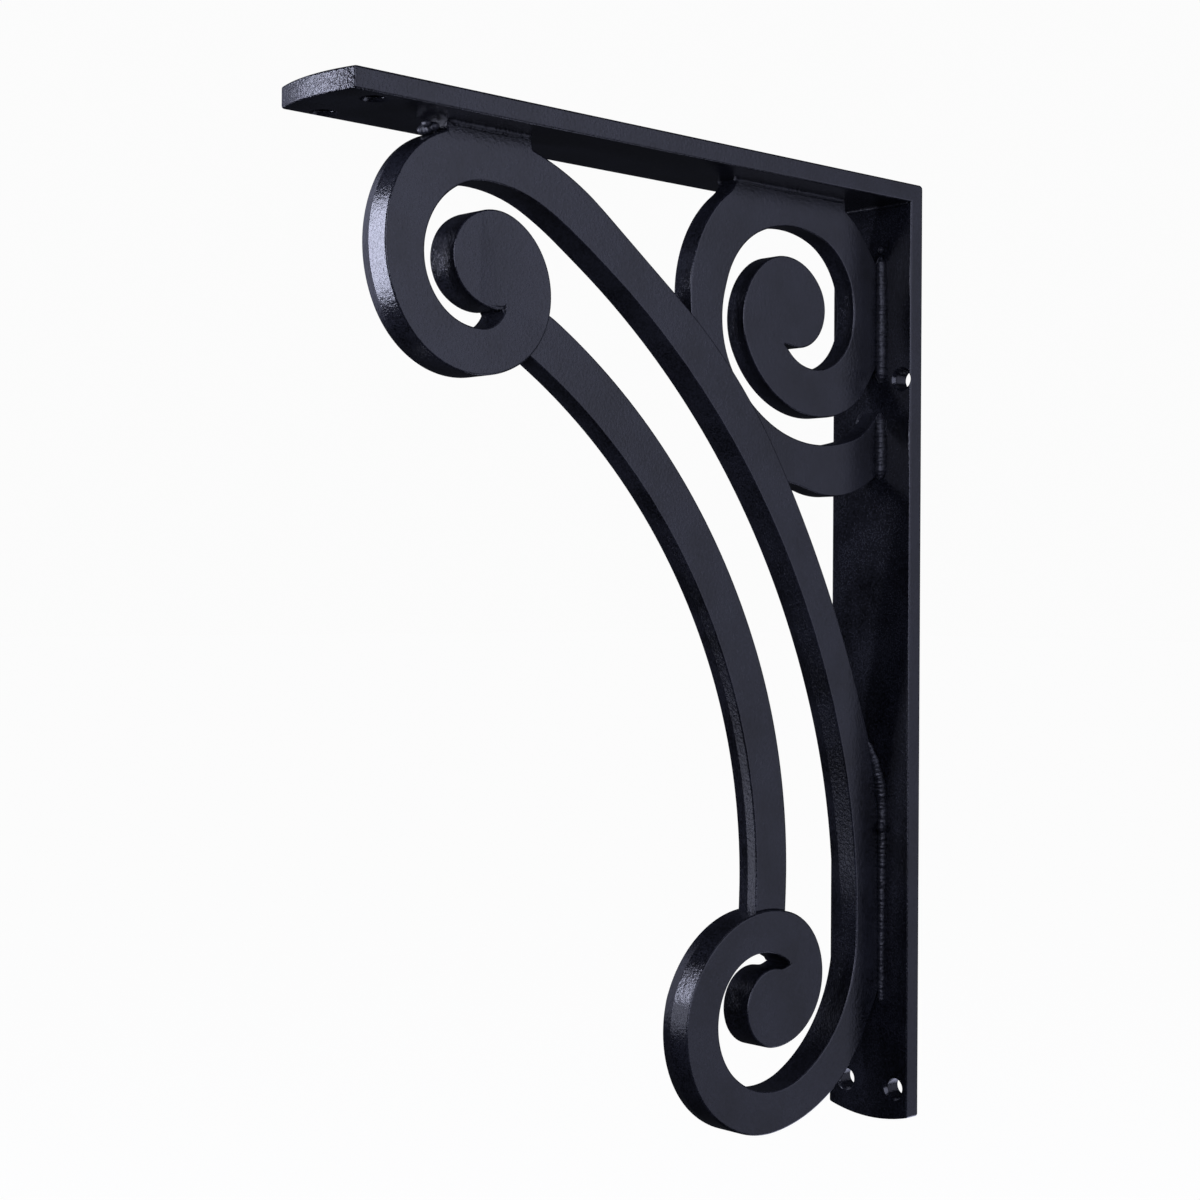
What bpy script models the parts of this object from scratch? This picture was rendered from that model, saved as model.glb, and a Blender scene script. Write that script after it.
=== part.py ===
"""Welded bar bracket for a counter: two flat bars at a right angle, filled with cut plate scrolls.

Frame: origin on the rear face of the upright bar, half way across it and half way up the bracket.
+X runs across the bars, -Y out along the arm, +Z up, and the wall is at +Y. Metres.

Scroll outlines are chains of tangent arcs. They are laid out in millimetres on the plane of the plates:
reach is measured out from the wall, and drop is measured down from the top of the arm.
"""

import math

import bmesh
import bpy
import numpy as np
from mathutils import Matrix

MM = 0.001

# Flat bars
HEIGHT = 406.0  # overall, top of the arm to the lowest point of the upright
BAR_WIDTH = 44.0
BAR_THICK = 8.0
ARM_CORNER = 303.8  # reach of the arm's front corners
END_SAG = 3.2  # how far the rounded bar ends stand out from their corners
CORNER_RADIUS = 1.2  # on the corners of the rounded ends
GAP = 0.3  # left between pieces that touch

# Plates
MAIN_THICK = 14.0
CORNER_THICK = 9.7
STRIP_THICK = 10.0
CHORD_ERROR = 0.05  # how far a straight facet may leave its arc

# Screw holes: countersunk a little on the side where the screw goes in
HOLE_RADIUS = 4.0
SINK_RADIUS = 5.2
SINK_DEPTH = 1.2
HOLE_SIDES = 32
ARM_HOLES_REACH = 289.5
ARM_HOLES_X = (-16.0, 13.5)
UPPER_HOLES_DROP = 84.0
UPPER_HOLES_X = (-14.5, 17.0)
LOWER_HOLES_DROP = 391.0
LOWER_HOLES_X = (-12.5, 14.5)

# Contacts with the bars
CONTACT = BAR_THICK + GAP  # reach or drop of a plate edge that meets a bar
MAIN_PAD = (251.6, 212.2)  # ends of the large scroll's flat under the arm
CORNER_PAD = (99.0, 31.4)  # ends of the small scroll's flat under the arm

# Arc chains: start (reach, drop), heading in degrees, then (radius, turn) for an arc or (length,)
# for a straight. Heading 0 points away from the wall and 90 points down.
UPPER_VOLUTE = (
    (251.7, 11.8), 17.83,
    ((37.9, 45.66), (49.9, 54.36), (41.2, 45.36), (40.9, 47.26), (29.8, 92.41), (30.3, 35.00),
     (21.8, 58.45), (16.9, 104.57), (22.5, 49.95)),
)
INNER_EDGE = (
    (223.1, 71.3), 82.19,
    ((12.0, -76.48), (25.8, -111.65), (29.4, -74.43), (67.3, -25.26), (149.8, -7.34), (12.8,),
     (346.0, -12.71), (340.6, -14.30), (336.8, -12.61), (275.5, -19.57), (61.2, -62.15),
     (37.5, -64.84), (29.0, -85.23), (25.6, -86.29), (74.5, 1.96), (1.9, -57.11)),
)
LOWER_VOLUTE = (
    (65.9, 331.8), 34.21,
    ((8.7, -46.25), (16.0, 124.54), (16.8, 63.95), (29.5, 27.33), (28.0, 142.07), (49.1, 82.02),
     (27.2, 7.35), (45.8, 47.19), (44.4, 19.47), (50.5, 43.09), (77.3, 25.66), (64.2, 32.74)),
)
OUTER_EDGE = (
    (211.3, 13.2), 163.5,
    ((121.5, -19.3), (51.6,), (235.2, -20.6), (511.6, -16.92)),
)
CORNER_LEFT = (
    (99.7, 10.0), 63.81,
    ((11.7, -27.98), (52.2, 59.85), (8.9,)),
)
CORNER_SLOT = (
    (8.3, 97.8), 56.93,
    ((31.7, -44.12), (4.8,), (66.1, -62.13), (39.8, -56.76), (155.0, -1.94), (35.5, -48.89),
     (52.3, -42.67), (31.4, -85.04), (24.8, -26.01), (24.7, -70.14), (21.5, -28.41)),
)
CORNER_EYE = (
    (69.2, 73.0), -176.56,
    ((22.8, -13.67), (16.7, 136.97), (26.1, 57.49), (24.1, 30.36), (28.2, 83.88), (45.7, 24.38),
     (49.9, 48.84), (34.2, -0.51), (34.4, 47.49)),
)
CORNER_RIGHT = (
    (31.3, 12.5), 148.1,
    ((55.9, -22.3),),
)
CORNER_FOOT = (
    (72.9, 129.4), 171.40,
    ((8.7,), (78.5, -8.26), (48.4, 52.57)),
)
STRIP_UPPER = (
    (207.2, 69.7), 150.72,
    ((5.0,), (277.1, -22.03), (267.1, -15.07), (228.0, -26.33), (10.0,)),
)
STRIP_LOWER = (
    (219.6, 84.4), 151.45,
    ((4.9,), (261.2, -19.92), (247.8, -17.50), (217.8, -27.03), (5.4,)),
)


def collection(name):
    made = bpy.data.collections.new(name)
    bpy.context.scene.collection.children.link(made)
    return made


for leftover in list(bpy.data.objects):
    bpy.data.objects.remove(leftover, do_unlink=True)

PARTS = collection("bar_bracket")
CUTTERS = collection("cutters")
CUTTERS.hide_render = True


def coated_steel(name, grey):
    material = bpy.data.materials.new(name)
    material.use_nodes = True
    shader = material.node_tree.nodes["Principled BSDF"]
    shader.inputs["Base Color"].default_value = (grey, grey, grey * 1.08, 1.0)
    shader.inputs["Metallic"].default_value = 0.0
    shader.inputs["Roughness"].default_value = 0.42
    return material


def arc_chain(layout):
    """The points of a chain of tangent arcs and straights, as rows of (reach, drop)."""
    start, heading, steps = layout
    here = np.array(start, float)
    turned = math.radians(heading)
    points = [here]
    for step in steps:
        along = np.array((math.cos(turned), math.sin(turned)))
        if len(step) == 1:
            here = here + along * step[0]
            points.append(here)
            continue
        radius, sweep = step[0], math.radians(step[1])
        side = math.copysign(1.0, sweep)
        centre = here + side * radius * np.array((-along[1], along[0]))
        widest = 2.0 * math.acos(1.0 - CHORD_ERROR / radius)
        count = max(1, math.ceil(abs(sweep) / widest))
        for i in range(1, count + 1):
            angle = turned + sweep * i / count
            points.append(centre - side * radius * np.array((-math.sin(angle), math.cos(angle))))
        here = points[-1]
        turned += sweep
    return np.array(points)


def run_to_wall(path):
    """The path carried straight on from its last facet to the plates' contact line on the upright."""
    ahead = path[-1] - path[-2]
    return np.vstack((path, path[-1] + ahead * (CONTACT - path[-1][0]) / ahead[0]))


def set_off(path, distance):
    """The path moved sideways by distance, towards the side that a positive turn bends to."""
    edges = np.diff(path, axis=0)
    edges /= np.linalg.norm(edges, axis=1)[:, None]
    corners = np.vstack((edges[:1], edges[:-1] + edges[1:], edges[-1:]))
    corners /= np.linalg.norm(corners, axis=1)[:, None]
    return path + distance * np.stack((-corners[:, 1], corners[:, 0]), axis=1)


def crossing(path, wall):
    """Where path first crosses wall: (step along path, step along wall, point)."""
    for i in range(len(path) - 1):
        a, run = path[i], path[i + 1] - path[i]
        for j in range(len(wall) - 1):
            b, rise = wall[j], wall[j + 1] - wall[j]
            turn = run[0] * rise[1] - run[1] * rise[0]
            if abs(turn) < 1e-12:
                continue
            across = b - a
            s = (across[0] * rise[1] - across[1] * rise[0]) / turn
            t = (across[0] * run[1] - across[1] * run[0]) / turn
            if 0.0 <= s < 1.0 and 0.0 <= t < 1.0:
                return i, j, a + s * run
    raise ValueError("two outlines that should cross don't")


def between(path, wall_start, wall_end):
    """The part of path that lies between its crossings with two walls, both end points included."""
    i, wall_i, first = crossing(path, wall_start)
    j, wall_j, last = crossing(path[::-1], wall_end)
    j = len(path) - 1 - j
    return np.vstack((first, path[i + 1:j], last)), wall_i, wall_j


def without_repeats(path, least=0.12):
    """The closed path with points nearer than least to their neighbour left out."""
    kept = [path[0]]
    for point in path[1:]:
        if np.linalg.norm(point - kept[-1]) >= least:
            kept.append(point)
    if np.linalg.norm(kept[-1] - kept[0]) < least:
        kept.pop()
    return np.array(kept)


def cut_plate(name, outline, thickness, material):
    """A plate of even thickness, centred on the bars, with this closed outline of (reach, drop)."""
    curve = bpy.data.curves.new(name, "CURVE")
    curve.dimensions = "2D"
    curve.fill_mode = "BOTH"
    curve.extrude = thickness / 2 * MM
    outline = without_repeats(outline)
    spline = curve.splines.new("POLY")
    spline.points.add(len(outline) - 1)
    for point, (reach, drop) in zip(spline.points, outline):
        point.co = (-reach * MM, (HEIGHT / 2 - drop) * MM, 0.0, 1.0)
    spline.use_cyclic_u = True
    upright = Matrix(((0, 0, 1, 0), (1, 0, 0, 0), (0, 1, 0, 0), (0, 0, 0, 1)))
    return as_solid(name, curve, upright, material)


def as_solid(name, curve, placing, material):
    """Turns a filled and extruded curve into a welded mesh object in the row frame."""
    sketch = bpy.data.objects.new(name + "_sketch", curve)
    PARTS.objects.link(sketch)
    sketch.matrix_world = placing
    bpy.context.view_layer.update()
    seen = sketch.evaluated_get(bpy.context.evaluated_depsgraph_get())
    mesh = bpy.data.meshes.new_from_object(seen)
    mesh.transform(sketch.matrix_world)
    bpy.data.objects.remove(sketch, do_unlink=True)
    bpy.data.curves.remove(curve)
    return finished(name, mesh, material)


def finished(name, mesh, material):
    work = bmesh.new()
    work.from_mesh(mesh)
    bmesh.ops.remove_doubles(work, verts=work.verts, dist=0.00002)
    bmesh.ops.recalc_face_normals(work, faces=work.faces)
    work.to_mesh(mesh)
    work.free()
    mesh.name = name
    mesh.materials.clear()
    mesh.materials.append(material)
    mesh.shade_smooth()
    mesh.set_sharp_from_angle(angle=math.radians(30.0))
    made = bpy.data.objects.new(name, mesh)
    PARTS.objects.link(made)
    return made


def bar_outline(length_from, corner_at):
    """A bar seen flat, as rows of (across, along).

    One end is square. The other is a shallow arc with small round corners.
    """
    half = BAR_WIDTH / 2
    end_radius = (half**2 + END_SAG**2) / (2 * END_SAG)
    arc_centre = corner_at + END_SAG - end_radius
    inset = half - CORNER_RADIUS
    # the small round is tangent to the side and to the end arc
    round_at = arc_centre + math.sqrt((end_radius - CORNER_RADIUS) ** 2 - inset**2)
    lean = math.atan2(inset, round_at - arc_centre)
    points = [(-half, length_from), (half, length_from)]
    for i in range(5):
        angle = (math.pi / 2) + (lean - math.pi / 2) * i / 4
        points.append((
            inset + CORNER_RADIUS * math.sin(angle),
            round_at + CORNER_RADIUS * math.cos(angle),
        ))
    steps = 12
    for i in range(1, steps):
        angle = lean - 2 * lean * i / steps
        points.append((end_radius * math.sin(angle), arc_centre + end_radius * math.cos(angle)))
    for i in range(5):
        angle = lean + (math.pi / 2 - lean) * i / 4
        points.append((
            -inset - CORNER_RADIUS * math.sin(angle),
            round_at + CORNER_RADIUS * math.cos(angle),
        ))
    return points


def flat_bar(name, outline, placing, material):
    curve = bpy.data.curves.new(name, "CURVE")
    curve.dimensions = "2D"
    curve.fill_mode = "BOTH"
    curve.extrude = BAR_THICK / 2 * MM
    spline = curve.splines.new("POLY")
    spline.points.add(len(outline) - 1)
    for point, (across, along) in zip(spline.points, outline):
        point.co = (across * MM, along * MM, 0.0, 1.0)
    spline.use_cyclic_u = True
    return as_solid(name, curve, placing, material)


def cone(name, radius_in, radius_out, length, placing):
    """A cutter on the local Z axis, from radius_in at the start to radius_out after length."""
    mesh = bpy.data.meshes.new(name)
    work = bmesh.new()
    bmesh.ops.create_cone(
        work, cap_ends=True, segments=HOLE_SIDES, radius1=radius_in * MM, radius2=radius_out * MM,
        depth=length * MM, matrix=placing @ Matrix.Translation((0.0, 0.0, length / 2 * MM)),
    )
    work.to_mesh(mesh)
    work.free()
    made = bpy.data.objects.new(name, mesh)
    made.display_type = "WIRE"
    made.hide_render = True
    CUTTERS.objects.link(made)
    return made


def drill(bar, spot, out_of_face, label):
    """A countersunk through hole at spot, on the face that out_of_face points off."""
    facing = out_of_face.to_track_quat("Z", "Y").to_matrix().to_4x4()
    over = 2.0  # how far the cutters run past the bar's faces
    through = Matrix.Translation(spot - out_of_face * (BAR_THICK + over) * MM) @ facing
    sink = Matrix.Translation(spot - out_of_face * SINK_DEPTH * MM) @ facing
    flare = (SINK_RADIUS - HOLE_RADIUS) / SINK_DEPTH
    cutters = (
        cone(label + "_bore", HOLE_RADIUS, HOLE_RADIUS, BAR_THICK + 2 * over, through),
        cone(label + "_sink", HOLE_RADIUS, HOLE_RADIUS + flare * (SINK_DEPTH + over),
             SINK_DEPTH + over, sink),
    )
    for cutter in cutters:
        cut = bar.modifiers.new(cutter.name, "BOOLEAN")
        cut.operation = "DIFFERENCE"
        cut.solver = "EXACT"
        cut.object = cutter


black = coated_steel("powder_coat_bars", 0.014)
black_main = coated_steel("powder_coat_main_scroll", 0.015)
black_corner = coated_steel("powder_coat_corner_scroll", 0.016)
black_strip = coated_steel("powder_coat_strip", 0.015)
black_back = coated_steel("powder_coat_upright", 0.014)

# The arm: laid flat, its outline runs out from the wall along -Y
top = HEIGHT / 2
arm_placing = Matrix.Translation((0, 0, (top - BAR_THICK / 2) * MM)) @ Matrix.Rotation(math.pi, 4, "X")
arm = flat_bar("top_bar", bar_outline(0.0, ARM_CORNER), arm_placing, black)

# The upright: its outline runs down from the underside of the arm
stand_placing = (
    Matrix.Translation((0, -BAR_THICK / 2 * MM, top * MM)) @ Matrix.Rotation(-math.pi / 2, 4, "X")
)
upright = flat_bar("back_bar", bar_outline(CONTACT, HEIGHT - END_SAG), stand_placing, black_back)

DOWN = Matrix.Identity(3).col[2] * -1.0
FORWARD = Matrix.Identity(3).col[1] * -1.0
for number, across in enumerate(ARM_HOLES_X):
    spot = Matrix.Translation((across * MM, -ARM_HOLES_REACH * MM, (top - BAR_THICK) * MM)).translation
    drill(arm, spot, DOWN, f"arm_hole_{number}")
for row, drop, places in (
    ("upper", UPPER_HOLES_DROP, UPPER_HOLES_X),
    ("lower", LOWER_HOLES_DROP, LOWER_HOLES_X),
):
    for number, across in enumerate(places):
        spot = Matrix.Translation((across * MM, -BAR_THICK * MM, (top - drop) * MM)).translation
        drill(upright, spot, FORWARD, f"{row}_hole_{number}")

# The large scroll: upper volute, inner edge, lower volute, then up the wall and the outer edge to the arm
upper_volute = arc_chain(UPPER_VOLUTE)
lower_volute = arc_chain(LOWER_VOLUTE)
outer_edge = run_to_wall(arc_chain(OUTER_EDGE))
main_outline = np.vstack((
    (MAIN_PAD[0], CONTACT),
    upper_volute,
    arc_chain(INNER_EDGE),
    run_to_wall(lower_volute),
    outer_edge[::-1],
    (MAIN_PAD[1], CONTACT),
))
main_scroll = cut_plate("main_scroll", main_outline, MAIN_THICK, black_main)

# The corner scroll: its long side follows the large scroll's outer edge at the gap
seam = set_off(outer_edge, GAP)
left_side = arc_chain(CORNER_LEFT)
foot = run_to_wall(arc_chain(CORNER_FOOT))
left_end, seam_start, first_touch = crossing(left_side, seam)
foot_start, seam_end, last_touch = crossing(foot, seam)
corner_outline = np.vstack((
    (CORNER_PAD[0], CONTACT),
    left_side[:left_end + 1],
    first_touch,
    seam[seam_start + 1:seam_end + 1],
    last_touch,
    foot[foot_start + 1:],
    arc_chain(CORNER_SLOT),
    run_to_wall(arc_chain(CORNER_EYE)),
    run_to_wall(arc_chain(CORNER_RIGHT))[::-1],
    (CORNER_PAD[1], CONTACT),
))
corner_scroll = cut_plate("corner_scroll", corner_outline, CORNER_THICK, black_corner)

# The strip between the volutes: both ends are cut to the volutes' edges at the gap
upper_wall = set_off(upper_volute, -GAP)
lower_wall = set_off(lower_volute, -GAP)
upper_side, a, b = between(arc_chain(STRIP_UPPER), upper_wall, lower_wall)
lower_side, c, d = between(arc_chain(STRIP_LOWER), upper_wall, lower_wall)
strip_outline = np.vstack((
    upper_side,
    lower_wall[b + 1:d + 1],
    lower_side[::-1],
    upper_wall[c + 1:a + 1],
))
strip = cut_plate("inner_strip", strip_outline, STRIP_THICK, black_strip)
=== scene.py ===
"""Finish, eased edges and welds of a bar bracket in black powder-coated steel.

The row frame is the CAD's: +X across the bars, -Y out along the arm, +Z up, metres. On the plane of
the plates, reach is measured out from the wall and drop down from the top of the arm, in millimetres.
"""

import math

import bmesh
import bpy
import numpy as np
from mathutils import Matrix, Vector
from mathutils.geometry import delaunay_2d_cdt


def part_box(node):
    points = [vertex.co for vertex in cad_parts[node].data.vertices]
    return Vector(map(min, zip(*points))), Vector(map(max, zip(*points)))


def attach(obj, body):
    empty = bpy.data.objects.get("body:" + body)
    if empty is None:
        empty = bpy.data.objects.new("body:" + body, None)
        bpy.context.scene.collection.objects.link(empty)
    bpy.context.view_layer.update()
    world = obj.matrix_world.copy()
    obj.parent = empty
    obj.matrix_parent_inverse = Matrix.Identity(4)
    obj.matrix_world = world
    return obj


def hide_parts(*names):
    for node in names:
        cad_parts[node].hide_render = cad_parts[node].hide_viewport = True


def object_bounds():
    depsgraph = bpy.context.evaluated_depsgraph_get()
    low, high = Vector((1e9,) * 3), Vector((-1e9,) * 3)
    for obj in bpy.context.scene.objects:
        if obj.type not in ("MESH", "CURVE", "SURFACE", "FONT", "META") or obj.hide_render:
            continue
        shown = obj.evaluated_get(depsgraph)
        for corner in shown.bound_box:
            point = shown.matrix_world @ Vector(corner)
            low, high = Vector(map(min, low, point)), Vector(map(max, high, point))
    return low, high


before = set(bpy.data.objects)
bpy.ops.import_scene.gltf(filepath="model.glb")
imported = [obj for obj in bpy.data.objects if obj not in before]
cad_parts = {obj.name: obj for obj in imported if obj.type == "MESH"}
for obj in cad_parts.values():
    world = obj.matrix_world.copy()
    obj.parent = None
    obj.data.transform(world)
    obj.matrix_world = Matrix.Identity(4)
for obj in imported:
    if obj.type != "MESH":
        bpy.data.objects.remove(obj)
cad_low, cad_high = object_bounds()

MM = 0.001
MERGE = 0.000002  # points nearer than this are one, in metres
SAME_SPOT = 1e-6  # and these are on one spot, in millimetres

# Bars
BAR_THICK = (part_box("top_bar")[1].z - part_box("top_bar")[0].z) / MM
BAR_WIDTH = (cad_high.x - cad_low.x) / MM
TOP = cad_high.z / MM
REACH = -cad_low.y / MM
HEIGHT = (cad_high.z - cad_low.z) / MM
END_SAG = 3.2  # how far the rounded bar ends stand out from their corners
END_POINTS = 25  # on the arc of a rounded end
CORNER_RADIUS = 1.2  # on the corners of the rounded ends, seen flat
CORNER_POINTS = 6
BAR_EASE = 1.0  # radius of the rolled edges
BAR_EASE_STEPS = 4
ELBOW_RADIUS = 1.8  # on the outer corner of the two bars, where the weld is ground flush
ELBOW_STEPS = 6
GROUND_TIP = 1.6  # the arm's ground end shows from this far before the end's corners
ONE_PLANE = 0.001  # faces that turn by less than this are joined, in radians
HOLE_RADIUS = 4.0
SINK_RADIUS = 5.2
SINK_DEPTH = 1.2
SOFT_BOTTOM = ((0.0, -0.15), (0.12, 0.05))  # a facet for the edge where hole and countersink meet
SOFT_RIM = ((-0.15, -0.2), (0.25, 0.05))  # and one for the countersink's own edge, as (out, up)
CUTTER_OVER = 3.0  # how far the holes' tools run past the bar's faces
HOLE_SIDES = 64
ARM_HOLES = (289.5, (-16.0, 13.5))  # reach, and the places across
UPRIGHT_HOLES = ((84.0, (-14.5, 17.0)), (391.0, (-12.5, 14.5)))  # drop, and the places across

# Plates: a rim that faces the front is crowned, and stands out most on a line near its far edge
NEAR_EASE = 0.8  # radius of the near face's edge
FAR_EASE = 0.5
EASE_STEPS = 5
FAR_BAND = 5.0  # from the crown's line to the far edge
CROWN = 1.1  # how far the crown stands out on the main scroll
CROWNED = (0.45, 0.8)  # the crown grows between these, as the rim comes to face the front (1)
CROWN_BLEND = 9  # points of the rim that the crown is blended over
HIDING_GAP = 1.0  # a run of the outline more than this before a rim point hides it from the front
RIM_GROWTH = 0.25  # how far the plain rim stands out from the CAD outline
HOLD = 0.12  # width of the narrow facets that keep flat faces flat beside their round edges
CLEAR_CORNER = 1.3  # no rim point is nearer than this to a sharp corner
SHARP = math.radians(32.0)  # an edge or a rim that turns by more than this is sharp
SLIT = math.radians(100.0)  # a rim that turns by more than this is at a slit's end or a pointed tip
SLIT_STEPS = 9
SLIT_CLEAR = (0.5, 4.0)  # the rim's growth comes in between these distances from those
UNEVEN = 3.0  # a run is rounded only between runs that are less than this many times longer or shorter
LEAST_SPREAD = 0.08  # keeps the mitre of a pointed tip finite
RING_DEPTH = 0.995  # a ring's point at less than this share of its depth is left out
WEAR = (0.4, 0.6)  # where an edge is worn most, and how far about that, in near radii from the face


def in_row(across, reach, drop):
    """The place in the row frame, in metres, of one given in millimetres."""
    return Vector((across, -reach, TOP - drop)) * MM


# Node trees

class Value:
    """An output of a node, which takes part in sums and products as a number does."""

    def __init__(self, tree, socket):
        self.tree, self.socket = tree, socket

    def __add__(self, other):
        return self.tree.maths("ADD", self, other)

    def __radd__(self, other):
        return self.tree.maths("ADD", other, self)

    def __sub__(self, other):
        return self.tree.maths("SUBTRACT", self, other)

    def __rsub__(self, other):
        return self.tree.maths("SUBTRACT", other, self)

    def __mul__(self, other):
        return self.tree.maths("MULTIPLY", self, other)

    def __rmul__(self, other):
        return self.tree.maths("MULTIPLY", other, self)

    def __truediv__(self, other):
        return self.tree.maths("DIVIDE", self, other)

    def __pow__(self, other):
        return self.tree.maths("POWER", self, other)


class Tree:
    """A node tree, grown node by node."""

    def __init__(self, inner):
        self.inner = inner

    def node(self, kind, settings=None, values=None, output=0):
        """An output of a new node. An input's value is a constant or another node's output."""
        made = self.inner.nodes.new(kind)
        for name, setting in (settings or {}).items():
            setattr(made, name, setting)
        for place, value in (values or {}).items():
            if isinstance(value, Value):
                self.inner.links.new(value.socket, made.inputs[place])
            else:
                made.inputs[place].default_value = value
        return Value(self, made.outputs[output])

    def maths(self, operation, first, second=0.0):
        return self.node("ShaderNodeMath", {"operation": operation}, {0: first, 1: second})

    def between(self, value, low, high):
        """How far value has come from low to high, eased at both ends, from 0 to 1."""
        return self.node(
            "ShaderNodeMapRange", {"interpolation_type": "SMOOTHSTEP"},
            {"Value": value, "From Min": low, "From Max": high},
        )

    def noise(self, place, size, detail=2.0, roughness=0.5):
        """Noise with features of about this size in millimetres, around 0.5."""
        return self.node(
            "ShaderNodeTexNoise", {"noise_dimensions": "3D"},
            {"Vector": place, "Scale": 1.0 / (size * MM), "Detail": detail, "Roughness": roughness},
        )


# The powder coat

CLOUD_SIZE = 22.0  # of the slow changes in shade and gloss, in millimetres
SKIN_SIZE = 1.3  # of the orange peel
FINE_SIZE = 0.6  # of the grain
SPECK_SIZE = 0.8  # of the glossier specks
DARKEST, LIGHTEST, WORN = 0.1, 2.6, 3.2  # shades of the powder, as shares of its tint
SPECKLED = (0.62, 0.74)  # a noise's range in which the specks come in
SHADED = (0.36, 0.64)  # and that from the darkest shade to the lightest
THINNED = (0.5, 0.8)  # and that in which worn edges show
BLACK = (0.0062, 0.0065, 0.0086)
WELD_BLACK = (0.008, 0.0083, 0.011)


def powder_coat(name, tint, roughness, peel, grain, rough_cut, edge_wear):
    """Satin black powder on steel.

    peel is the depth of the orange peel and grain that of the fine grain, in millimetres. Cut edges
    are marked by the attribute cut_edge, and rough_cut is how much deeper both are there. Eased edges
    are marked by the attribute eased, and edge_wear is how much of the worn shade shows there.
    """
    material = bpy.data.materials.new(name)
    material.use_nodes = True
    tree = Tree(material.node_tree)
    shader = material.node_tree.nodes["Principled BSDF"]
    place = tree.node("ShaderNodeTexCoord", output="Object")
    cut = tree.node("ShaderNodeAttribute", {"attribute_name": "cut_edge"}, output="Fac")
    wear = tree.node("ShaderNodeAttribute", {"attribute_name": "eased"}, output="Fac")
    cloud = tree.noise(place, CLOUD_SIZE, detail=3.0)
    skin = tree.noise(place, SKIN_SIZE)
    fine = tree.noise(place, FINE_SIZE, roughness=0.6)
    speck = tree.between(tree.noise(place, SPECK_SIZE, detail=1.0), *SPECKLED)

    dark, light, worn = (
        (*(share * part for part in tint), 1.0) for share in (DARKEST, LIGHTEST, WORN)
    )
    shade = tree.between(0.55 * fine + 0.3 * cloud + 0.15 * skin, *SHADED)
    colour = tree.node(
        "ShaderNodeMix", {"data_type": "RGBA"},
        {"Factor": shade, "A": dark, "B": light}, output="Result",
    )
    thin = wear * edge_wear * tree.between(cloud + 0.4 * fine, *THINNED)
    colour = tree.node(
        "ShaderNodeMix", {"data_type": "RGBA"},
        {"Factor": thin, "A": colour, "B": worn}, output="Result",
    )
    gloss = roughness + 0.16 * (fine - 0.5) + 0.12 * (cloud - 0.5) - 0.05 * wear - 0.06 * speck
    height = (1.0 + rough_cut * cut) * (peel * skin + grain * fine)
    relief = tree.node(
        "ShaderNodeBump", {}, {"Strength": 1.0, "Distance": MM, "Height": height},
    )
    for socket, value in (("Base Color", colour), ("Roughness", gloss), ("Normal", relief)):
        material.node_tree.links.new(value.socket, shader.inputs[socket])
    shader.inputs["Metallic"].default_value = 0.0
    shader.inputs["IOR"].default_value = 1.5
    return material


plate_finish = powder_coat(
    "powder_coat_plate", BLACK, roughness=0.17, peel=0.095, grain=0.070, rough_cut=0.1, edge_wear=0.4,
)
bar_finish = powder_coat(
    "powder_coat_bar", BLACK, roughness=0.17, peel=0.080, grain=0.045, rough_cut=3.6, edge_wear=0.6,
)
weld_finish = powder_coat(
    "powder_coat_weld", WELD_BLACK, roughness=0.40, peel=0.160, grain=0.080, rough_cut=0.0, edge_wear=0.0,
)


def as_piece(name, mesh, material, slot_name, *replaced):
    """A finished piece in the row frame, which rides on the one body."""
    mesh.name = name
    mesh.materials.clear()
    mesh.materials.append(material)
    piece = bpy.data.objects.new(name, mesh)
    bpy.context.scene.collection.objects.link(piece)
    if replaced:
        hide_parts(*replaced)
    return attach(piece, "root")


def evaluated(piece):
    """The piece's mesh with its modifiers applied. The piece itself is removed."""
    bpy.context.view_layer.update()
    depsgraph = bpy.context.evaluated_depsgraph_get()
    seen = piece.evaluated_get(depsgraph)
    mesh = bpy.data.meshes.new_from_object(seen, preserve_all_data_layers=True, depsgraph=depsgraph)
    bpy.data.objects.remove(piece, do_unlink=True)
    return mesh


def loose(name, data):
    """A new object in the scene, which belongs to no body yet."""
    made = bpy.data.objects.new(name, data)
    bpy.context.scene.collection.objects.link(made)
    return made


def flat_faces_kept(name, mesh):
    """Smooth shading that leaves the large flat faces flat."""
    mesh.shade_smooth()
    mesh.set_sharp_from_angle(angle=SHARP)
    shaded = loose(name, mesh)
    weighted = shaded.modifiers.new("weighted", "WEIGHTED_NORMAL")
    weighted.keep_sharp = True
    weighted.weight = 100  # the largest face decides
    return evaluated(shaded)


def mark(mesh, name, values):
    """Stores a value at each point, for the finish to read."""
    layer = mesh.attributes.new(name, "FLOAT", "POINT")
    layer.data.foreach_set("value", np.asarray(values, np.float32))


def places_of(mesh):
    """The mesh's points, in millimetres."""
    return np.array([v.co for v in mesh.vertices], float) / MM


# The plates

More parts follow.
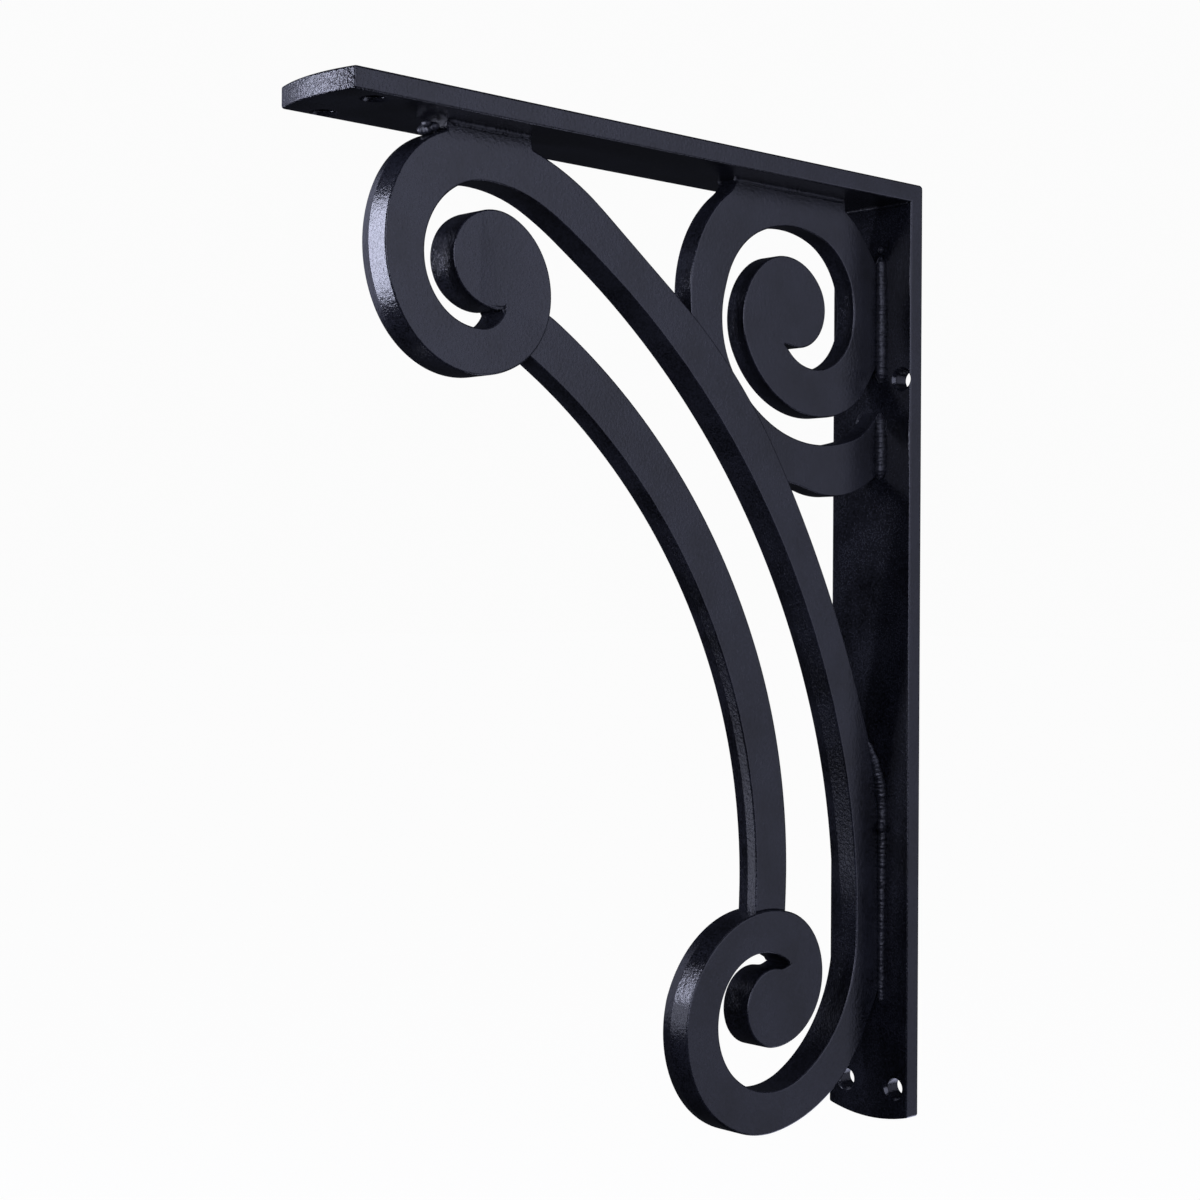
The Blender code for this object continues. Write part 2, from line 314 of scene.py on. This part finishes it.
def face_outline(node):
    """The closed outline of a plate's near face, from a merged copy of its CAD mesh.

    Rows of (y, z) in millimetres, counter-clockwise.
    """
    work = bmesh.new()
    work.from_mesh(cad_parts[node].data)
    bmesh.ops.remove_doubles(work, verts=work.verts, dist=MERGE)
    work.normal_update()
    work.verts.index_update()
    work.verts.ensure_lookup_table()
    near = max(v.co.x for v in work.verts)
    towards_near = 0.9
    links = {}
    for edge in work.edges:
        flat = [f for f in edge.link_faces if f.normal.x > towards_near]
        if len(flat) == 1 and all(near - v.co.x < MERGE for v in edge.verts):
            for a, b in (edge.verts, reversed(edge.verts)):
                links.setdefault(a.index, []).append(b.index)
    start = min(links)
    path, before, here = [start], start, links[start][0]
    while here != start:
        path.append(here)
        before, here = here, next(step for step in links[here] if step != before)
    outline = np.array([work.verts[i].co.yz for i in path], float) / MM
    work.free()
    y, z = outline.T
    turned = np.sum(y * np.roll(z, -1) - z * np.roll(y, -1))
    return outline if turned > 0 else outline[::-1]


def runs(outline):
    """For each point: the unit direction and the length of the run to the next."""
    steps = np.roll(outline, -1, axis=0) - outline
    lengths = np.linalg.norm(steps, axis=1)
    return steps / lengths[:, None], lengths


def turns(outline):
    """How far the outline turns at each point, in radians, without sign."""
    ahead, _ = runs(outline)
    behind = np.roll(ahead, 1, axis=0)
    return np.arccos(np.clip(np.sum(ahead * behind, axis=1), -1.0, 1.0))


def clear_corners(outline):
    """The outline with the points close beside a sharp corner left out."""
    corners = outline[turns(outline) > SHARP]
    gaps = np.linalg.norm(outline[:, None] - corners[None], axis=2)
    beside = (gaps > SAME_SPOT) & (gaps < CLEAR_CORNER)
    return outline[~(beside.any(axis=1) & (turns(outline) <= SHARP))]


def rounded(outline):
    """The outline with a point added halfway along each run: on the curve of four points, or straight."""
    _, lengths = runs(outline)
    bend = turns(outline) < SHARP
    even = np.ones(len(outline), bool)
    for beside in (np.roll(lengths, 1), np.roll(lengths, -1)):
        even &= (beside < UNEVEN * lengths) & (lengths < UNEVEN * beside)
    middles = (
        9 * (outline + np.roll(outline, -1, axis=0))
        - np.roll(outline, 1, axis=0) - np.roll(outline, -2, axis=0)
    ) / 16
    plain = (outline + np.roll(outline, -1, axis=0)) / 2
    middles = np.where((even & bend & np.roll(bend, -1))[:, None], middles, plain)
    return np.stack((outline, middles), axis=1).reshape(-1, 2)


def inset(outline, depth):
    """Each point moved into the plate, so that every run moves by depth."""
    along, _ = runs(outline)
    inward = np.stack((-along[:, 1], along[:, 0]), axis=1)
    before = np.roll(inward, 1, axis=0)
    spread = 1.0 + np.sum(inward * before, axis=1)
    return outline + depth * (inward + before) / np.maximum(spread, LEAST_SPREAD)[:, None]


def distance_to(points, outline):
    """The distance from each point to the nearest run of the closed outline."""
    along, lengths = runs(outline)
    apart = points[:, None] - outline[None]
    ahead = np.clip(np.sum(apart * along[None], axis=2), 0.0, lengths[None])
    return np.linalg.norm(apart - ahead[..., None] * along[None], axis=2).min(axis=1)


def ring_within(border, depth):
    """The line at this depth within the border, round where it goes about the end of a slit."""
    along, _ = runs(border)
    inward = np.stack((-along[:, 1], along[:, 0]), axis=1)
    before = np.roll(inward, 1, axis=0)
    about = before[:, 0] * inward[:, 1] - before[:, 1] * inward[:, 0]
    straight = inset(border, depth)
    ring = []
    for i, turn in enumerate(turns(border)):
        if turn > SLIT and about[i] < 0:
            first = math.atan2(before[i, 1], before[i, 0])
            for angle in np.linspace(first, first - turn, SLIT_STEPS):
                ring.append(border[i] + depth * np.array((math.cos(angle), math.sin(angle))))
        else:
            ring.append(straight[i])
    ring = np.array(ring)
    return ring[distance_to(ring, border) > depth * RING_DEPTH]


def eased_face(border, half, radius, side):
    """A plate's face, rounded down to its border. Points and triangles, in millimetres."""
    angles = np.linspace(0.0, math.pi / 2, EASE_STEPS + 1)
    depths = np.append(radius * (1 - np.cos(angles)), radius + HOLD)
    heights = np.append(half - radius + radius * np.sin(angles), half)
    rings = [border, *(ring_within(border, depth) for depth in depths[1:])]
    edges, count = [], 0
    for ring in rings:
        numbers = np.arange(len(ring)) + count
        edges += list(zip(numbers.tolist(), np.roll(numbers, -1).tolist()))
        count += len(ring)
    flat = [Vector(point) for point in np.vstack(rings).tolist()]
    inside = 1  # keeps the triangles within the border
    nearest = 1e-5
    made = delaunay_2d_cdt(flat, edges, [list(range(len(border)))], inside, nearest)
    places = np.array([tuple(v) for v in made[0]])
    rise = np.interp(distance_to(places, border), depths, heights)
    triangles = np.array([tuple(t) for t in made[2]])
    return np.column_stack((side * rise, places)), triangles if side > 0 else triangles[:, ::-1]


def smooth_step(value, low, high):
    """How far value has come from low to high, eased at both ends, from 0 to 1."""
    share = np.clip((value - low) / (high - low), 0.0, 1.0)
    return share * share * (3.0 - 2.0 * share)


def crown_of(outline, share):
    """How far the crown stands out at each point: only where the rim faces the open front."""
    along, _ = runs(outline)
    heading = along + np.roll(along, 1, axis=0)
    facing = -heading[:, 1] / np.linalg.norm(heading, axis=1)  # a rim that heads down faces the front
    y, z = outline.T
    next_y, next_z = np.roll(y, -1), np.roll(z, -1)
    spans = (z[:, None] > z[None]) != (z[:, None] > next_z[None])
    level = 1e-9  # stands in for the rise of a level run, which spans no height
    rise = np.where(np.abs(next_z - z) < level, level, next_z - z)
    met = y[None] + (z[:, None] - z[None]) / rise[None] * (next_y - y)[None]
    hidden = (spans & (met < y[:, None] - HIDING_GAP)).any(axis=1)
    crown = CROWN * share * smooth_step(facing, *CROWNED) * ~hidden
    blend = np.hanning(CROWN_BLEND) / np.hanning(CROWN_BLEND).sum()
    past = CROWN_BLEND // 2
    return np.convolve(np.concatenate((crown[-past:], crown, crown[:past])), blend, "valid")


def plate(node, finish, slot_name, crown_share):
    """A plate cut to its node's outline, with its rim crowned, its edges eased and its faces flat."""
    low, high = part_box(node)
    half = (high.x - low.x) / 2 / MM
    outline = rounded(clear_corners(face_outline(node)))
    crown = crown_of(outline, crown_share)[:, None]
    ends = outline[turns(outline) > SLIT]
    to_end = np.linalg.norm(outline[:, None] - ends[None], axis=2).min(axis=1, initial=SLIT_CLEAR[1])
    growth = RIM_GROWTH * smooth_step(to_end, *SLIT_CLEAR)[:, None]
    far_edge, near_edge = -half + FAR_EASE, half - NEAR_EASE
    widest = far_edge + FAR_BAND
    levels = (
        (far_edge, 0.0), (far_edge + HOLD, 0.0), (widest - HOLD, 1.0), (widest + HOLD, 1.0),
        (near_edge - HOLD, 0.0), (near_edge, 0.0),
    )
    loops = [inset(outline, -growth - crown * share) for _, share in levels]
    points = [
        np.column_stack((np.full(len(loop), level), loop)) for (level, _), loop in zip(levels, loops)
    ]
    faces = []
    around = np.arange(len(outline))
    for step in range(len(levels) - 1):
        here, ahead = around + step * len(around), np.roll(around, -1) + step * len(around)
        faces += np.column_stack((here, ahead, ahead + len(around), here + len(around))).tolist()
    count = len(levels) * len(around)
    for border, radius, side in ((loops[-1], NEAR_EASE, 1), (loops[0], FAR_EASE, -1)):
        face_points, triangles = eased_face(border, half, radius, side)
        points.append(face_points)
        faces += (triangles + count).tolist()
        count += len(face_points)
    mesh = bpy.data.meshes.new(node)
    mesh.from_pydata((np.vstack(points) * MM).tolist(), [], faces)
    work = bmesh.new()
    work.from_mesh(mesh)
    bmesh.ops.remove_doubles(work, verts=work.verts, dist=MERGE)
    bmesh.ops.dissolve_degenerate(work, edges=work.edges, dist=MERGE)
    bmesh.ops.recalc_face_normals(work, faces=work.faces)
    work.to_mesh(mesh)
    work.free()
    fall = half - np.abs(places_of(mesh)[:, 0])
    mark(mesh, "cut_edge", np.clip(fall / NEAR_EASE, 0.0, 1.0))
    most, about = (NEAR_EASE * share for share in WEAR)
    mark(mesh, "eased", np.clip(1.0 - np.abs(fall - most) / about, 0.0, 1.0))
    return as_piece("shaped_" + node, flat_faces_kept(node, mesh), finish, slot_name, node)


# The two bars, welded at the corner and ground flush

def end_outline(length):
    """A bar seen flat, as rows of (across, along), with its far end a shallow arc with round corners."""
    half = BAR_WIDTH / 2
    end_radius = (half**2 + END_SAG**2) / (2 * END_SAG)
    arc_centre = length - end_radius
    side = half - CORNER_RADIUS
    round_at = arc_centre + math.sqrt((end_radius - CORNER_RADIUS) ** 2 - side**2)
    lean = math.atan2(side, round_at - arc_centre)
    corner = [
        (side + CORNER_RADIUS * math.sin(angle), round_at + CORNER_RADIUS * math.cos(angle))
        for angle in np.linspace(math.pi / 2, lean, CORNER_POINTS)
    ]
    arc = [
        (end_radius * math.sin(angle), arc_centre + end_radius * math.cos(angle))
        for angle in np.linspace(lean, -lean, END_POINTS)[1:-1]
    ]
    return [(-half, 0.0), (half, 0.0), *corner, *arc, *((-x, y) for x, y in reversed(corner))]


def slab(name, outline, thickness, placing):
    """A flat piece of this outline, with thickness upwards from it, put in its place."""
    work = bmesh.new()
    floor = work.faces.new([work.verts.new((x * MM, y * MM, 0.0)) for x, y in outline])
    rise = bmesh.ops.extrude_face_region(work, geom=[floor])
    moved = [v for v in rise["geom"] if isinstance(v, bmesh.types.BMVert)]
    bmesh.ops.translate(work, verts=moved, vec=(0.0, 0.0, thickness * MM))
    bmesh.ops.recalc_face_normals(work, faces=work.faces)
    work.transform(placing)
    bmesh.ops.recalc_face_normals(work, faces=work.faces)
    mesh = bpy.data.meshes.new(name)
    work.to_mesh(mesh)
    work.free()
    return loose(name, mesh)


def combined(body, other, operation):
    """The body joined with the other piece or cut by it. Both are used up."""
    step = body.modifiers.new(operation.lower(), "BOOLEAN")
    step.operation = operation
    step.solver = "EXACT"
    step.object = other
    name = body.name
    mesh = evaluated(body)
    bpy.data.objects.remove(other, do_unlink=True)
    return loose(name, mesh)


def hole_cutter(spot, out_of_face):
    """A countersunk screw hole's tool at spot, on the face that out_of_face points off."""
    flare = (SINK_RADIUS - HOLE_RADIUS) / SINK_DEPTH
    profile = (
        (HOLE_RADIUS, -BAR_THICK - CUTTER_OVER),
        *((HOLE_RADIUS + out, -SINK_DEPTH + up) for out, up in SOFT_BOTTOM),
        *((SINK_RADIUS + out, up) for out, up in SOFT_RIM),
        (SINK_RADIUS + flare * CUTTER_OVER, CUTTER_OVER),
    )
    facing = out_of_face.to_track_quat("Z", "Y").to_matrix().to_4x4()
    work = bmesh.new()
    rings = []
    for radius, height in profile:
        rings.append([
            work.verts.new((radius * math.cos(turn) * MM, radius * math.sin(turn) * MM, height * MM))
            for turn in np.linspace(0.0, 2 * math.pi, HOLE_SIDES, endpoint=False)
        ])
    for lower, upper in zip(rings, rings[1:]):
        for i in range(HOLE_SIDES):
            j = (i + 1) % HOLE_SIDES
            work.faces.new((lower[i], lower[j], upper[j], upper[i]))
    work.faces.new(rings[0][::-1])
    work.faces.new(rings[-1])
    work.transform(Matrix.Translation(spot) @ facing)
    bmesh.ops.recalc_face_normals(work, faces=work.faces)
    mesh = bpy.data.meshes.new("hole_cutter")
    work.to_mesh(mesh)
    work.free()
    return loose("hole_cutter", mesh)


def ease_edges(body):
    """Rounds the bars' rolled edges and ends, and the outer corner more."""
    mesh = evaluated(body)
    work = bmesh.new()
    work.from_mesh(mesh)
    bmesh.ops.remove_doubles(work, verts=work.verts, dist=MERGE)
    bmesh.ops.dissolve_limit(work, angle_limit=ONE_PLANE, verts=work.verts, edges=work.edges)

    def at_elbow(edge):
        return all(abs(v.co.y) < MERGE and abs(v.co.z - TOP * MM) < MERGE for v in edge.verts)

    bmesh.ops.bevel(
        work, geom=[e for e in work.edges if at_elbow(e)], offset=ELBOW_RADIUS * MM,
        offset_type="OFFSET", segments=ELBOW_STEPS, profile=0.5, affect="EDGES", clamp_overlap=False,
    )
    edges = [e for e in work.edges if e.is_manifold and e.calc_face_angle_signed() > SHARP]
    bmesh.ops.bevel(
        work, geom=edges, offset=BAR_EASE * MM, offset_type="OFFSET", segments=BAR_EASE_STEPS,
        profile=0.5, affect="EDGES", clamp_overlap=False,
    )
    work.to_mesh(mesh)
    work.free()
    return loose("bars", mesh)


def bars():
    """The arm and the upright as one welded piece, drilled and eased."""
    lay_arm = Matrix.Translation((0, 0, TOP * MM)) @ Matrix.Rotation(math.pi, 4, "X")
    stand = Matrix.Translation((0, -BAR_THICK * MM, TOP * MM)) @ Matrix.Rotation(-math.pi / 2, 4, "X")
    arm = slab("arm", end_outline(REACH), BAR_THICK, lay_arm)
    upright = slab("upright", end_outline(HEIGHT), BAR_THICK, stand)
    body = ease_edges(combined(arm, upright, "UNION"))
    reach, places = ARM_HOLES
    down, forward = Vector((0, 0, -1)), Vector((0, -1, 0))
    tools = [hole_cutter(in_row(x, reach, BAR_THICK), down) for x in places]
    for drop, places in UPRIGHT_HOLES:
        tools += [hole_cutter(in_row(x, BAR_THICK, drop), forward) for x in places]
    for tool in tools:
        body = combined(body, tool, "DIFFERENCE")
    mesh = evaluated(body)
    spots = places_of(mesh)
    end_corners = REACH - END_SAG
    mark(mesh, "cut_edge", smooth_step(-spots[:, 1], end_corners - GROUND_TIP, end_corners))
    mark(mesh, "eased", np.zeros(len(spots)))
    return as_piece(
        "welded_bars", flat_faces_kept("bars", mesh), bar_finish, "powder_coat_bars",
        "top_bar", "back_bar",
    )


bars()
plate("main_scroll", plate_finish, "powder_coat_main_scroll", crown_share=1.0)
plate("corner_scroll", plate_finish, "powder_coat_corner_scroll", crown_share=0.0)
plate("inner_strip", plate_finish, "powder_coat_strip", crown_share=0.5)


# The weld beads

BEAD_STEP = 0.3  # length of a bead's facets
BEAD_SIDES = 14
SWELL_SCALE = 260.0  # of the noise that thickens and thins a bead, per metre
SKIN_SCALE = 900.0  # of the noise that makes its skin uneven
THINNEST = 0.82  # a bead's thickness where the swell is least, as a share
SWELL = 0.36  # how much more it is where the swell is most
RIPPLE_WANDER = 0.6  # how far the ripples stray from even spacing, in ripples
END_ROUND = 1.6  # length of a bead's rounded end, in radii
END_CAP = 0.12  # how thick a bead starts, squared, as a share


def bead_tree():
    """Weld beads along curves: a tube with rippled thickness, uneven skin and rounded ends."""
    group = bpy.data.node_groups.new("weld_beads", "GeometryNodeTree")
    sockets = {}
    for name, kind in (
        ("Paths", "NodeSocketGeometry"), ("Ripple pitch", "NodeSocketFloat"),
        ("Ripple depth", "NodeSocketFloat"), ("Unevenness", "NodeSocketFloat"),
        ("Seed", "NodeSocketFloat"), ("Finish", "NodeSocketMaterial"),
    ):
        sockets[name] = group.interface.new_socket(name, in_out="INPUT", socket_type=kind).identifier
    group.interface.new_socket("Beads", in_out="OUTPUT", socket_type="NodeSocketGeometry")
    tree = Tree(group)
    given = {name: tree.node("NodeGroupInput", output=name) for name in sockets}

    def shifted(place, times):
        """This place moved by the seed, so that each group of beads has its own noise."""
        shift = tree.node("ShaderNodeCombineXYZ", {}, {"X": given["Seed"] * times, "Y": given["Seed"]})
        return tree.node("ShaderNodeVectorMath", {"operation": "ADD"}, {0: place, 1: shift})

    finer = tree.node(
        "GeometryNodeResampleCurve", {"mode": "LENGTH"},
        {"Curve": given["Paths"], "Length": BEAD_STEP * MM},
    )
    along = tree.node("GeometryNodeSplineParameter", output="Length")
    whole = tree.node("GeometryNodeSplineLength", output="Length")
    place = tree.node("GeometryNodeInputPosition")
    radius = tree.node("GeometryNodeInputRadius")
    swell = tree.node(
        "ShaderNodeTexNoise", {}, {"Vector": shifted(place, 0.37), "Scale": SWELL_SCALE, "Detail": 1.0},
    )
    wave = tree.maths("FRACT", along / given["Ripple pitch"] + RIPPLE_WANDER * swell)
    to_end = tree.maths("MINIMUM", along, whole - along)
    taper = tree.maths("MINIMUM", to_end / (radius * END_ROUND) + END_CAP, 1.0) ** 0.5
    ripple = 1.0 - given["Ripple depth"] * wave * wave
    thick = radius * taper * (THINNEST + SWELL * swell) * ripple
    section = tree.node(
        "GeometryNodeCurvePrimitiveCircle", {"mode": "RADIUS"},
        {"Resolution": BEAD_SIDES, "Radius": 1.0},
    )
    beads = tree.node(
        "GeometryNodeCurveToMesh", {},
        {"Curve": finer, "Profile Curve": section, "Scale": thick, "Fill Caps": True},
    )
    skin = tree.node(
        "ShaderNodeTexNoise", {}, {"Vector": shifted(place, 0.61), "Scale": SKIN_SCALE, "Detail": 2.0},
    )
    push = tree.node(
        "ShaderNodeVectorMath", {"operation": "SCALE"},
        {0: tree.node("GeometryNodeInputNormal"), "Scale": given["Unevenness"] * (skin - 0.5)},
    )
    rough = tree.node("GeometryNodeSetPosition", {}, {"Geometry": beads, "Offset": push})
    smooth = tree.node("GeometryNodeSetShadeSmooth", {}, {"Geometry": rough})
    single = tree.node("GeometryNodeRealizeInstances", {}, {"Geometry": smooth})
    done = tree.node(
        "GeometryNodeSetMaterial", {}, {"Geometry": single, "Material": given["Finish"]},
    )
    group.links.new(done.socket, group.nodes.new("NodeGroupOutput").inputs["Beads"])
    return group, sockets


BEADS, BEAD_SOCKETS = bead_tree()


def weld(name, paths, pitch, depth, unevenness, seed, slot_name):
    """Beads along paths, whose points are rows of (across, reach, drop, bead radius).

    Ripples come every pitch millimetres and are depth deep, as a share of the bead's radius. The skin
    is uneven by up to half the unevenness, in millimetres.
    """
    curve = bpy.data.curves.new(name, "CURVE")
    curve.dimensions = "3D"
    for path in paths:
        spline = curve.splines.new("POLY")
        spline.points.add(len(path) - 1)
        for point, (across, reach, drop, radius) in zip(spline.points, path):
            point.co = (*in_row(across, reach, drop), 1.0)
            point.radius = radius * MM
    run = loose(name, curve)
    grown = run.modifiers.new("beads", "NODES")
    grown.node_group = BEADS
    for socket, value in (
        ("Ripple pitch", pitch * MM), ("Ripple depth", depth), ("Unevenness", unevenness * MM),
        ("Seed", seed), ("Finish", weld_finish),
    ):
        grown[BEAD_SOCKETS[socket]] = value
    mesh = evaluated(run)
    mark(mesh, "cut_edge", np.ones(len(mesh.vertices)))
    return as_piece(name, mesh, weld_finish, slot_name)


def both_sides(path):
    """A path on the near side and the same on the far side."""
    return [path, [(-across, *rest) for across, *rest in path]]


MAIN_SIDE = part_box("main_scroll")[1].x / MM
CORNER_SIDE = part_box("corner_scroll")[1].x / MM
BAR_FACE = BAR_THICK + 0.4  # a bead's middle stands this far below the arm's top, or out from the wall

# Rows of across, reach, drop and bead radius
under_arm = [
    *both_sides([(MAIN_SIDE - 0.3, 251.0, BAR_FACE, 1.5), (MAIN_SIDE - 0.1, 238.0, BAR_FACE, 1.8),
                 (MAIN_SIDE - 0.2, 224.0, BAR_FACE, 1.7), (MAIN_SIDE - 0.3, 212.0, BAR_FACE, 1.4)]),
    *both_sides([(CORNER_SIDE - 0.3, 100.0, BAR_FACE, 1.3), (CORNER_SIDE - 0.2, 70.0, BAR_FACE, 1.5),
                 (CORNER_SIDE - 0.2, 50.0, BAR_FACE, 1.4), (CORNER_SIDE - 0.3, 32.0, BAR_FACE, 1.5)]),
]
tip_wedge = [
    [(-5.5, 255.5, 10.6, 1.6), (-1.0, 256.3, 10.9, 2.2), (3.0, 256.8, 11.2, 2.0),
     (6.6, 256.0, 10.8, 2.3)],
    [(2.2, 259.4, 10.6, 1.3), (5.4, 260.2, 10.4, 1.7), (6.8, 259.6, 10.2, 1.2)],
]
wall_runs = [
    *both_sides([(CORNER_SIDE + 0.6, BAR_FACE, 30.0, 2.0), (CORNER_SIDE + 1.0, BAR_FACE, 52.0, 2.5),
                 (CORNER_SIDE + 1.0, BAR_FACE, 85.0, 2.4)]),
    *both_sides([(CORNER_SIDE + 0.6, BAR_FACE, 98.0, 2.0), (CORNER_SIDE + 1.0, BAR_FACE, 112.0, 2.7),
                 (CORNER_SIDE + 0.9, BAR_FACE, 127.0, 2.3)]),
    *both_sides([(MAIN_SIDE - 0.5, 16.6, 241.0, 1.2), (MAIN_SIDE + 0.2, 12.6, 250.0, 1.9),
                 (MAIN_SIDE + 0.7, 9.6, 260.0, 2.4), (MAIN_SIDE + 0.9, BAR_FACE, 272.0, 2.0),
                 (MAIN_SIDE + 0.8, BAR_FACE, 310.0, 1.7), (MAIN_SIDE + 0.7, BAR_FACE, 355.0, 1.4)]),
]
drops = [
    [(CORNER_SIDE + 1.2, BAR_FACE + 0.8, 25.6, 1.6), (CORNER_SIDE + 1.2, BAR_FACE + 0.8, 28.6, 1.7)],
    [(MAIN_SIDE + 1.6, BAR_FACE + 1.5, 276.0, 2.4), (MAIN_SIDE + 1.6, BAR_FACE + 1.5, 280.8, 2.6)],
]
elbow = [[(-20.5, BAR_THICK, BAR_THICK, 0.7), (-6.0, BAR_THICK, BAR_THICK, 0.8),
          (8.0, BAR_THICK, BAR_THICK, 0.7), (20.5, BAR_THICK, BAR_THICK, 0.7)]]

weld("arm_welds", under_arm, pitch=1.9, depth=0.05, unevenness=1.1, seed=1.3,
     slot_name="powder_coat_bars")
weld("volute_weld", tip_wedge, pitch=2.2, depth=0.3, unevenness=1.3, seed=4.7,
     slot_name="powder_coat_main_scroll")
weld("upright_welds", wall_runs, pitch=1.9, depth=0.06, unevenness=1.4, seed=2.1,
     slot_name="powder_coat_upright")
weld("weld_drops", drops, pitch=4.0, depth=0.05, unevenness=0.5, seed=3.3,
     slot_name="powder_coat_upright")
weld("elbow_weld", elbow, pitch=1.8, depth=0.2, unevenness=0.8, seed=5.9,
     slot_name="powder_coat_bars")


# The camera, at the bracket's front right and level with its middle

CAMERA_PLACE = (0.609749, -0.737011, 0.022791)
CAMERA_AZIMUTH = math.radians(47.056)
CAMERA_ROLL = math.radians(0.317)
LENS = 64.552
SENSOR = 36.0
CLIP = (0.01, 100.0)

camera = bpy.data.objects.new("camera", bpy.data.cameras.new("camera"))
bpy.context.scene.collection.objects.link(camera)
camera.data.sensor_width = SENSOR
camera.data.lens = LENS
camera.data.clip_start, camera.data.clip_end = CLIP
camera.matrix_world = (
    Matrix.Translation(CAMERA_PLACE) @ Matrix.Rotation(CAMERA_AZIMUTH, 4, "Z")
    @ Matrix.Rotation(math.pi / 2, 4, "X") @ Matrix.Rotation(CAMERA_ROLL, 4, "Z")
)
bpy.context.scene.camera = camera


# The studio

FLOOR_DROP = 0.6  # below the middle of the bracket, which hangs
FLOOR_SIZE = 60.0
FLOOR_GREY = (0.12, 0.12, 0.12)  # what light adds to the floor's own pale glow
PALE = (0.97, 0.97, 0.97)
ROOM = (0.015, 0.016, 0.021)
COOL = (0.74, 0.77, 1.04)
COOL_STRIP = (0.78, 0.81, 1.04)
MIDDLE = (0.0, -0.12, 0.03)  # near the bracket's middle, in metres, where most soft boxes are aimed


def studio_floor():
    """A plain pale floor. The camera sees it, and it casts no light on the bracket."""
    mesh = bpy.data.meshes.new("floor")
    half = FLOOR_SIZE / 2
    mesh.from_pydata(
        [(x, y, -FLOOR_DROP) for x, y in ((-half, -half), (half, -half), (half, half), (-half, half))],
        [], [(0, 1, 2, 3)],
    )
    material = bpy.data.materials.new("pale_floor")
    material.use_nodes = True
    shader = material.node_tree.nodes["Principled BSDF"]
    shader.inputs["Base Color"].default_value = (*FLOOR_GREY, 1.0)
    shader.inputs["Roughness"].default_value = 1.0
    shader.inputs["Specular IOR Level"].default_value = 0.0
    shader.inputs["Emission Color"].default_value = (*PALE, 1.0)
    shader.inputs["Emission Strength"].default_value = 1.0
    mesh.materials.append(material)
    floor = bpy.data.objects.new("floor", mesh)
    bpy.context.scene.collection.objects.link(floor)
    floor.visible_glossy = False
    floor.visible_diffuse = False


def studio_world():
    """White behind the bracket, and a dim blue-grey room for everything that it reflects."""
    world = bpy.data.worlds.new("studio")
    world.use_nodes = True
    bpy.context.scene.world = world
    tree = Tree(world.node_tree)
    seen = tree.node("ShaderNodeLightPath", output="Is Camera Ray")
    colour = tree.node(
        "ShaderNodeMix", {"data_type": "RGBA"},
        {"Factor": seen, "A": (*ROOM, 1.0), "B": (*PALE, 1.0)}, output="Result",
    )
    background = world.node_tree.nodes["Background"]
    world.node_tree.links.new(colour.socket, background.inputs["Color"])
    background.inputs["Strength"].default_value = 1.0


def soft_box(name, bearing, rise, distance, width, height, radiance, colour=COOL, aim=MIDDLE):
    """A soft box seen from aim at this bearing and rise.

    The bearing is in degrees from -Y towards -X. The distance from aim and the size are in metres.
    """
    turned, raised = math.radians(bearing), math.radians(rise)
    away = Vector((
        -math.sin(turned) * math.cos(raised), -math.cos(turned) * math.cos(raised), math.sin(raised),
    ))
    light = bpy.data.lights.new(name, "AREA")
    light.shape = "RECTANGLE"
    light.size, light.size_y = width, height
    light.energy = radiance * math.pi * width * height
    light.color = colour
    made = bpy.data.objects.new(name, light)
    made.location = Vector(aim) + away * distance
    made.rotation_euler = away.to_track_quat("Z", "Y").to_euler()
    bpy.context.scene.collection.objects.link(made)


UPPER_RIM = (0.0, -0.29, 0.14)  # the front of the upper volute, where the strip is aimed
LOWER_RIM = (0.0, -0.115, -0.13)  # and of the lower one, where the low strip is

studio_floor()
studio_world()
# Bearing and rise, then distance, width and height, then radiance
soft_box("strip", 39.0, 4.0, 0.23, 0.066, 0.30, 17.0, COOL_STRIP, UPPER_RIM)
soft_box("low_strip", 27.0, 18.0, 0.20, 0.056, 0.22, 2.6, COOL_STRIP, LOWER_RIM)
soft_box("left_wall", 77.0, 12.0, 1.6, 0.8, 1.3, 0.7)
soft_box("right_back_panel", 243.0, 4.0, 1.5, 2.0, 1.9, 0.59)
soft_box("back_glow", 257.0, 12.0, 1.6, 1.7, 1.5, 0.64)
soft_box("low_back", 180.0, -47.0, 0.7, 0.5, 0.3, 2.0)
soft_box("overhead", 250.0, 82.0, 1.5, 1.2, 1.2, 0.4)
soft_box("fill", -44.0, 12.0, 1.6, 1.2, 1.2, 3.0)

bpy.context.scene.view_settings.view_transform = "Standard"
bpy.context.scene.view_settings.look = "None"

bpy.context.view_layer.update()
